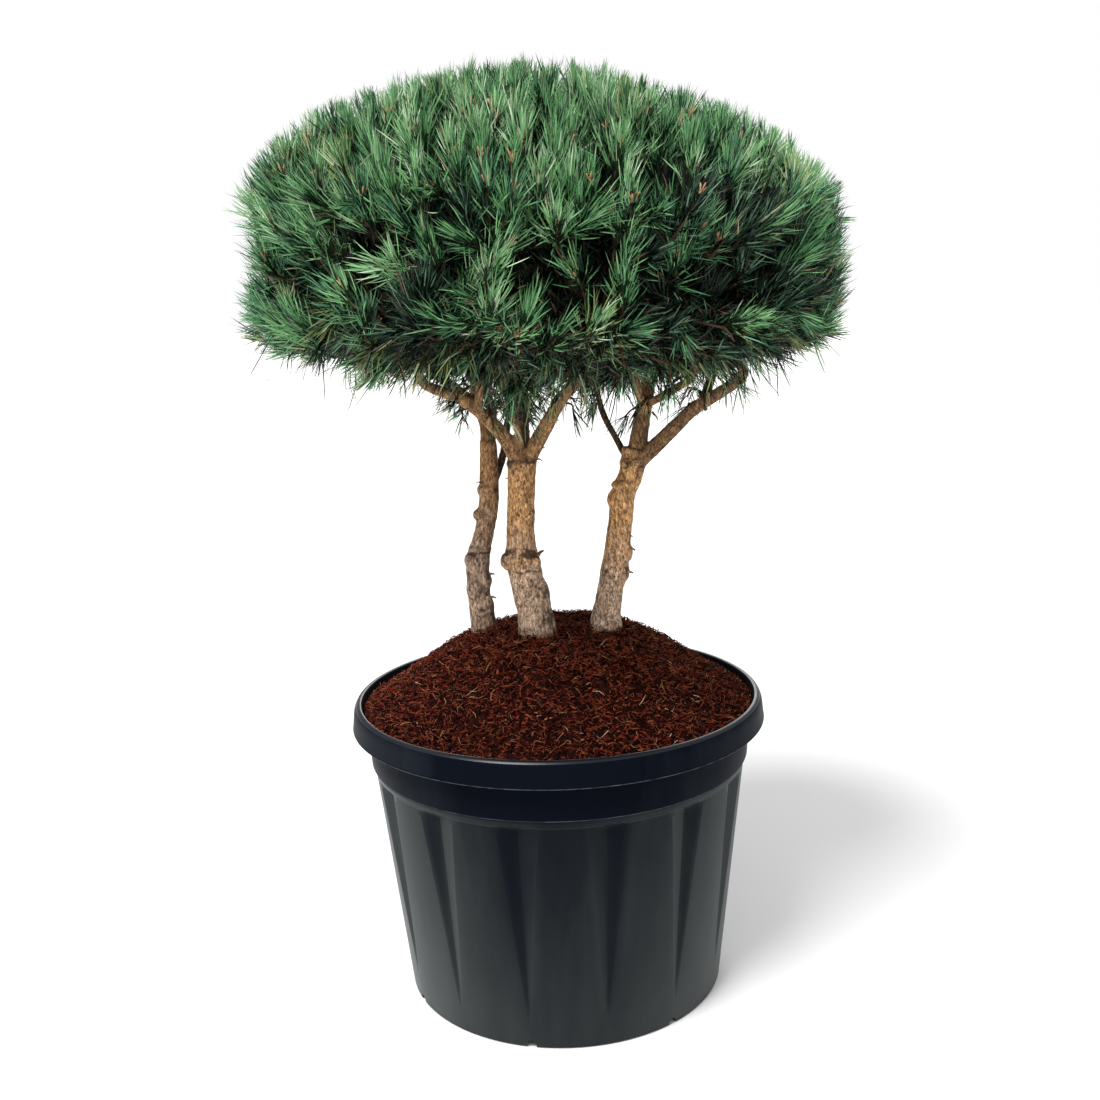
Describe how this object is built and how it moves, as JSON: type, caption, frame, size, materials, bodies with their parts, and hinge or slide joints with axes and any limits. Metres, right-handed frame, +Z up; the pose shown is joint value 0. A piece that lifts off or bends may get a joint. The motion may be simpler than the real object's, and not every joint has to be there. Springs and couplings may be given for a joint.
{
  "type": "potted scots pine",
  "caption": "Small pine with leaning trunks and a broad rounded crown of needles, growing in mounded mulch in a round grooved nursery pot.",
  "frame": {"origin": "centre of the pot's flat underside", "axes": "+Z up along the pot's axis, +X to the right and -Y towards the front as pictured"},
  "size_m": [0.877, 0.7991, 1.3],
  "materials": {
    "pot_plastic": "satin black moulded plastic, lightly scuffed",
    "mulch": "loose red-brown shredded bark and coir",
    "bark": "flaking orange-tan bark, greyer and rougher at the foot",
    "needles": "dense blue-green needles in pairs"
  },
  "bodies": {
    "root": {"back_mass": "needles", "back_rising_bough": "bark", "centre_back_bough": "bark", "centre_front_bough": "bark", "centre_left_bough": "bark", "centre_right_bough": "bark", "centre_trunk": "bark", "front_mass": "needles", "front_rising_bough": "bark", "high_back_left_mass": "needles", "high_back_right_mass": "needles", "high_front_left_mass": "needles", "high_front_right_mass": "needles", "high_left_mass": "needles", "high_right_mass": "needles", "inner_left_mass": "needles", "inner_right_mass": "needles", "left_back_bough": "bark", "left_back_mass": "needles", "left_bough": "bark", "left_front_mass": "needles", "left_mass": "needles", "left_rear_bough": "bark", "left_rising_bough": "bark", "left_trunk": "bark", "mulch": "mulch", "pot": "pot_plastic", "right_back_bough": "bark", "right_back_mass": "needles", "right_bough": "bark", "right_front_mass": "needles", "right_inner_bough": "bark", "right_leader": "bark", "right_thin_bough": "bark", "right_trunk": "bark", "right_upper_bough": "bark", "top_mass": "needles"}
  },
  "joints": []
}
